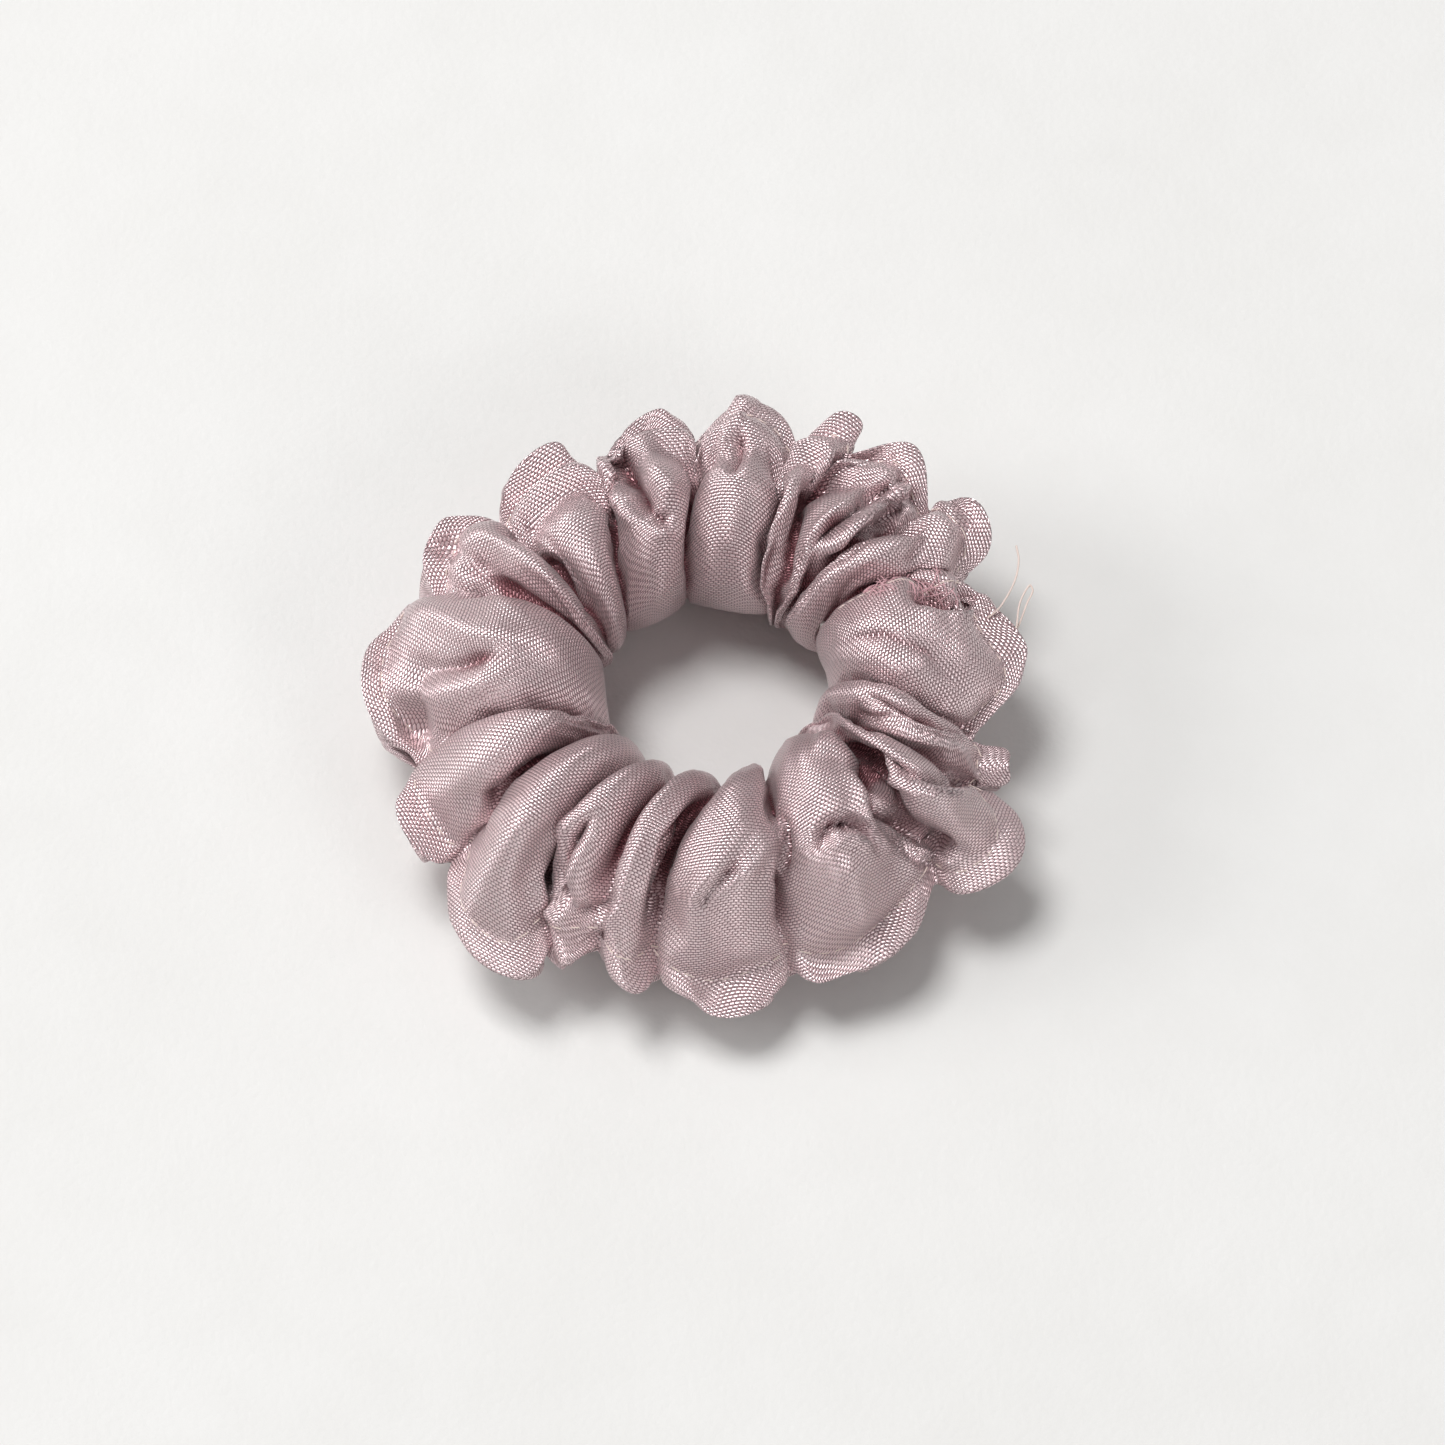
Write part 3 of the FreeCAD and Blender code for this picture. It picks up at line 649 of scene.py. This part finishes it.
def stitchTree():
    # stitches of one thread, set at a pitch along a route and turned to the cloth's normals
    tree = bpy.data.node_groups.new("stitches", "GeometryNodeTree")
    link, make = tree.links.new, tree.nodes.new
    kinds = {"Route": "Geometry", "Pitch": "Float", "Length": "Float", "Rise": "Float", "Dip": "Float",
             "Radius": "Float", "Material": "Material"}
    for name, kind in kinds.items():
        tree.interface.new_socket(name, in_out="INPUT", socket_type="NodeSocket" + kind)
    tree.interface.new_socket("Threads", in_out="OUTPUT", socket_type="NodeSocketGeometry")
    given = make("NodeGroupInput").outputs
    route, spaced = make("GeometryNodeMeshToCurve"), make("GeometryNodeResampleCurve")
    spaced.mode = "LENGTH"
    link(given["Route"], route.inputs["Mesh"])
    link(route.outputs["Curve"], spaced.inputs["Curve"])
    link(given["Pitch"], spaced.inputs["Length"])
    lift = make("GeometryNodeInputNamedAttribute")
    lift.data_type = "FLOAT_VECTOR"
    lift.inputs["Name"].default_value = "lift"
    turn = make("FunctionNodeAxesToRotation")
    turn.primary_axis, turn.secondary_axis = "X", "Z"
    link(make("GeometryNodeInputTangent").outputs[0], turn.inputs[0])
    link(lift.outputs["Attribute"], turn.inputs[1])
    half, back, down = make("ShaderNodeMath"), make("ShaderNodeMath"), make("ShaderNodeMath")
    half.operation = back.operation = down.operation = "MULTIPLY"
    half.inputs[1].default_value, back.inputs[1].default_value, down.inputs[1].default_value = 0.5, -0.5, -1
    link(given["Length"], half.inputs[0])
    link(given["Length"], back.inputs[0])
    link(given["Dip"], down.inputs[0])
    arch = make("GeometryNodeCurveQuadraticBezier")
    arch.inputs["Resolution"].default_value = 8
    for socket, x, z in (("Start", back.outputs[0], down.outputs[0]), ("Middle", None, given["Rise"]),
                         ("End", half.outputs[0], down.outputs[0])):
        place = make("ShaderNodeCombineXYZ")
        if x:
            link(x, place.inputs[0])
        link(z, place.inputs[2])
        link(place.outputs[0], arch.inputs[socket])
    profile, tube = make("GeometryNodeCurvePrimitiveCircle"), make("GeometryNodeCurveToMesh")
    profile.inputs["Resolution"].default_value = 6
    link(given["Radius"], profile.inputs["Radius"])
    link(arch.outputs[0], tube.inputs["Curve"])
    link(profile.outputs[0], tube.inputs["Profile Curve"])
    tube.inputs["Fill Caps"].default_value = True
    place, real, paint = (make("GeometryNode" + kind)
                          for kind in ("InstanceOnPoints", "RealizeInstances", "SetMaterial"))
    link(spaced.outputs["Curve"], place.inputs["Points"])
    link(tube.outputs["Mesh"], place.inputs["Instance"])
    link(turn.outputs[0], place.inputs["Rotation"])
    link(place.outputs["Instances"], real.inputs["Geometry"])
    link(real.outputs["Geometry"], paint.inputs["Geometry"])
    link(given["Material"], paint.inputs["Material"])
    link(paint.outputs["Geometry"], make("NodeGroupOutput").inputs["Threads"])
    return tree


def routeMesh(name, route, lifts, closed):
    # a line of edges in mm that carries the normals to which the stitches turn
    count = len(route)
    mesh = bpy.data.meshes.new(name)
    edges = [(k, k + 1) for k in range(count - 1)] + [(count - 1, 0)] * closed
    mesh.from_pydata((route * mm).tolist(), edges, [])
    lift = mesh.attributes.new("lift", "FLOAT_VECTOR", "POINT")
    lift.data.foreach_set("vector", lifts.reshape(-1).astype(np.float32))
    piece = bpy.data.objects.new(name, mesh)
    bpy.context.scene.collection.objects.link(piece)
    return piece


def runTree(piece, tree, settings, name):
    # runs the tree on the piece and keeps what it makes as a plain mesh
    modifier = piece.modifiers.new("tree", "NODES")
    modifier.node_group = tree
    for item in tree.interface.items_tree:
        if item.in_out == "INPUT" and item.name in settings:
            modifier[item.identifier] = settings[item.name]
    made = bpy.data.meshes.new_from_object(piece.evaluated_get(bpy.context.evaluated_depsgraph_get()))
    bpy.data.objects.remove(piece)
    made.name = name
    made.polygons.foreach_set("use_smooth", np.ones(len(made.polygons), bool))
    kept = bpy.data.objects.new(name, made)
    bpy.context.scene.collection.objects.link(kept)
    return kept


def stitchRow(name, tree, material, route, lifts, closed, nodes, **changes):
    settings = {key.title(): thread[key] for key in ("pitch", "length", "rise", "dip", "radius")}
    settings.update(changes, Material=material)
    piece = runTree(routeMesh(name, route, lifts, closed), tree, settings, name)
    print(name, len(piece.data.polygons), "faces")
    if nodes:
        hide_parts(*nodes)
    followCloth(piece)


def seamRoute(points, normals, upper):
    # the frill's stitch line on the upper or the lower layer, at the same distance out on every section
    half, hem = points.shape[1] // 2, thread["hemRows"]
    first, last = (hem, half) if upper else (half, points.shape[1] - hem)
    out = np.linalg.norm(points[:, first:last, :2] - np.array(ring), axis=2)
    row = int(np.argmin(np.abs(out.mean(0) - thread["seam"]))) + first
    return points[:, row], normals[:, row]


def makeSewing(points):
    normals = gridNormals(points)
    cream = plainMaterial("thread", thread["colour"], thread["roughness"])
    tree = stitchTree()
    upper, upperLift = seamRoute(points, normals, True)
    lower, lowerLift = seamRoute(points, normals, False)
    stitchRow("needleThread", tree, cream, upper, upperLift, True,
              ("needle_thread_near", "needle_thread_far"))
    stitchRow("bobbinThread", tree, cream, lower, lowerLift, True,
              ("bobbin_thread_near", "bobbin_thread_far"))
    # the closing seam, where the tube's two ends meet: whip stitches down the outer flank, and
    # frayed edge yarns
    section = closingSection(points)
    run = slice(*closing["rows"])
    stitchRow("closingThread", tree, cream, points[section, run], normals[section, run], False,
              ("closing_thread",), Pitch=closing["pitch"], Length=closing["length"])
    chance = np.random.default_rng(closing["fraySeed"])
    count = closing["frays"]
    spread = closing["fraySpread"]                   # in sections either side of the seam
    spots = (np.sort(chance.integers(*closing["frayRows"], count)),
             section + chance.integers(-spread, spread + 1, count))
    frays = points[spots[1], spots[0]] + chance.normal(0, closing["frayShift"], (count, 3))
    stitchRow("frayedYarn", tree, plainMaterial("yarn", closing["yarn"], closing["yarnRoughness"]), frays,
              normals[spots[1], spots[0]] + chance.normal(0, closing["frayTurn"], (count, 3)), False, (),
              Pitch=closing["frayPitch"], Length=closing["frayLength"], Rise=closing["frayRise"],
              Radius=closing["frayRadius"])
    tail = smoothCurve(closing["tail"], 60)
    loop = smoothCurve(closing["loop"], 80)
    for name, route, node in (("threadTail", tail, "thread_tail"), ("threadLoop", loop, "thread_loop")):
        piece = threadTube(name, route, cream, closing["radius"])
        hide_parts(node)
        followCloth(piece)


closing = {
    "angle": 20.0, "rows": (24, 52), "pitch": 1.4 * mm, "length": 1.5 * mm, "radius": 0.14 * mm,
    "frayRows": (22, 44), "frays": 60, "frayPitch": 1.6 * mm, "frayLength": 3.0 * mm,
    "yarn": (0.72, 0.42, 0.46, 1),
    "fraySpread": 4, "frayShift": 0.25, "frayTurn": 0.35, "frayRise": 0.9 * mm, "frayRadius": 0.06 * mm,
    "yarnRoughness": 0.45, "fraySeed": 7,
    # in mm from the ring's middle, where the photograph shows the loose end and the loop
    "tail": [(36.6, 8.6, 16.8), (38.2, 9.8, 17.6), (40.1, 13.1, 18.4), (40.7, 15.9, 19.0),
             (40.4, 17.9, 19.4)],
    "loop": [(38.6, 5.6, 15.6), (40.1, 6.7, 16.4), (40.8, 10.4, 17.6), (42.1, 12.7, 18.2), (42.5, 12.0, 18.0),
             (41.8, 10.6, 17.4), (40.4, 7.4, 16.0), (39.0, 6.0, 15.2)],
}


def closingSection(points):
    # the section whose outer end is nearest the closing seam's angle
    out = points[:, points.shape[1] // 5, :2] - np.array(ring)
    angle = np.degrees(np.arctan2(out[:, 1], out[:, 0]))
    return int(np.argmin(np.abs(angle - closing["angle"])))


def smoothCurve(places, count):
    places = np.array(places) + np.array(ring + (0,))
    knots = np.concatenate([[0], np.cumsum(np.linalg.norm(np.diff(places, axis=0), axis=1))])
    return smoothWeights(knots, np.linspace(0, knots[-1], count)) @ places


def threadTube(name, route, material, radius):
    # round thread along a route in mm
    curve = bpy.data.curves.new(name, "CURVE")
    curve.dimensions, curve.bevel_depth, curve.bevel_resolution, curve.use_fill_caps = "3D", radius, 2, True
    line = curve.splines.new("POLY")
    line.points.add(len(route) - 1)
    line.points.foreach_set("co", np.hstack([route * mm, np.ones((len(route), 1))]).reshape(-1))
    drawn = bpy.data.objects.new(name, curve)
    bpy.context.scene.collection.objects.link(drawn)
    mesh = bpy.data.meshes.new_from_object(drawn.evaluated_get(bpy.context.evaluated_depsgraph_get()))
    bpy.data.objects.remove(drawn)
    mesh.polygons.foreach_set("use_smooth", np.ones(len(mesh.polygons), bool))
    mesh.materials.clear()
    mesh.materials.append(material)
    piece = bpy.data.objects.new(name, mesh)
    bpy.context.scene.collection.objects.link(piece)
    return piece


elastic = {
    "radius": 17.0, "thickness": 0.8, "width": 6.0, "level": 9.46,      # as in the frame, in mm
    "ribs": 5, "ribDepth": 0.25, "steps": 240,                           # the ribs run along the band
    "lap": (-38, -4), "lapSteps": 40, "lapGap": 0.02,                    # the overlapped end, in degrees
    "zigzags": 9, "zigzagInset": 1.0, "zigzagLift": 0.05,
    "colour": (0.62, 0.60, 0.57, 1), "roughness": 0.8,
}


def bandPlace(angle, out, height):
    # a place in mm at so many degrees round the ring, and so high above the band's lower edge
    angle = math.radians(angle)
    return out * math.cos(angle) + ring[0], out * math.sin(angle) + ring[1], elastic["level"] + height


def bandProfile():
    # the ribbed section of the band: half its thickness and the height, up one face and down the other
    half, strips = elastic["thickness"] / 2, elastic["ribs"] * 4
    face = []
    for k in range(strips + 1):
        rib = abs(math.sin(math.pi * elastic["ribs"] * k / strips))
        face.append((half * (1 - elastic["ribDepth"] * (1 - rib)), elastic["width"] * k / strips))
    return face + [(-out, height) for out, height in reversed(face)]


def bandWalls(start, size, count, closed):
    # faces between so many sections of the band, whose points are numbered from the start
    faces = []
    for number in range(count - (not closed)):
        here, after = start + number * size, start + (number + 1) % count * size
        faces += [(here + k, after + k, after + (k + 1) % size, here + (k + 1) % size) for k in range(size)]
    return faces


def makeElastic():
    # flat knitted band stood on edge, its two ends lapped, with a zigzag of thread down the lap
    profile = bandProfile()
    size, thickness, (lapStart, lapEnd) = len(profile), elastic["thickness"], elastic["lap"]
    middle = elastic["radius"] + thickness / 2
    verts = [bandPlace(360 * number / elastic["steps"], middle + out, height)
             for number in range(elastic["steps"]) for out, height in profile]
    faces = bandWalls(0, size, elastic["steps"], True)
    start, sections = len(verts), elastic["lapSteps"] + 1
    verts += [bandPlace(angle, middle + thickness + elastic["lapGap"] + out, height)
              for angle in np.linspace(lapStart, lapEnd, sections) for out, height in profile]
    faces += bandWalls(start, size, sections, False)
    faces.append(tuple(range(start, start + size)))
    faces.append(tuple(reversed(range(len(verts) - size, len(verts)))))
    mesh = bpy.data.meshes.new("elasticBand")
    mesh.from_pydata((np.array(verts) * mm).tolist(), [], faces)
    mesh.materials.append(plainMaterial("elastic", elastic["colour"], elastic["roughness"]))
    piece = bpy.data.objects.new("elasticBand", mesh)
    bpy.context.scene.collection.objects.link(piece)
    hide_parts("elastic_band")
    followCloth(piece)
    out = elastic["radius"] + 2 * thickness + elastic["zigzagLift"]
    corners = elastic["zigzags"] + 1
    levels = elastic["width"] - elastic["zigzagInset"], elastic["zigzagInset"]
    route = [bandPlace(lapStart + (lapEnd - lapStart) * (number + 0.5) / corners, out, levels[number % 2])
             for number in range(corners)]
    zigzag = threadTube("elasticJoin", np.array(route), bpy.data.materials["thread"], thread["radius"])
    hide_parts("elastic_join_thread")
    followCloth(zigzag)


paper = {
    "size": 3, "dark": (0.74, 0.73, 0.71, 1), "light": (0.85, 0.845, 0.835, 1), "roughness": 0.9,
    "clouds": ((18, 0.7), (130, 0.3)),               # scale and share of its two mottlings
    "grainScale": 900, "grainStrength": 0.25, "grain": 0.3 * mm,
}


def makeStage():
    bpy.ops.mesh.primitive_plane_add(size=paper["size"])
    floor = bpy.context.object
    floor.name = "floor"
    material = bpy.data.materials.new("paper")
    material.use_nodes = True
    tree = material.node_tree
    shader = tree.nodes["Principled BSDF"]
    place = tree.nodes.new("ShaderNodeTexCoord").outputs["Object"]
    broad, close = (mathNode(tree, "MULTIPLY", noiseNode(tree, place, scale, 3), share)
                    for scale, share in paper["clouds"])
    colour = mixColour(tree, mathNode(tree, "ADD", broad, close), paper["dark"], paper["light"])
    tree.links.new(colour, shader.inputs["Base Color"])
    shader.inputs["Roughness"].default_value = paper["roughness"]
    bump = tree.nodes.new("ShaderNodeBump")
    bump.inputs["Strength"].default_value = paper["grainStrength"]
    bump.inputs["Distance"].default_value = paper["grain"]
    tree.links.new(noiseNode(tree, place, paper["grainScale"], 2), bump.inputs["Height"])
    tree.links.new(bump.outputs[0], shader.inputs["Normal"])
    floor.data.materials.append(material)


# Light from a window behind and above, to the left, with softer light from the left and the front:
# place in m, size in m, power in W
lights = {
    "window": ((-0.65, 0.55, 2.3), 1.0, 42.0),
    "sideWindow": ((-1.7, 0.1, 0.9), 0.8, 13.0),
    "reflector": ((1.3, -1.3, 1.1), 0.8, 8.0),
}
roomLight = 0.25


def addLight(name, place, size, power):
    lamp = bpy.data.lights.new(name, "AREA")
    lamp.size, lamp.energy = size, power
    light = bpy.data.objects.new(name, lamp)
    bpy.context.scene.collection.objects.link(light)
    light.location = place
    light.rotation_euler = (-Vector(place)).to_track_quat("-Z", "Y").to_euler()


makeStage()
for name, settings in lights.items():
    addLight(name, *settings)
world = bpy.data.worlds.new("room")
world.use_nodes = True
world.node_tree.nodes["Background"].inputs["Color"].default_value = (1, 1, 1, 1)
world.node_tree.nodes["Background"].inputs["Strength"].default_value = roomLight
bpy.context.scene.world = world
bpy.context.scene.view_settings.view_transform = "Standard"
print("stage and lights")

points = settledPoints()
makeCover(points)
print("cover")
makeSewing(points)
print("sewing")
makeElastic()
print("elastic")
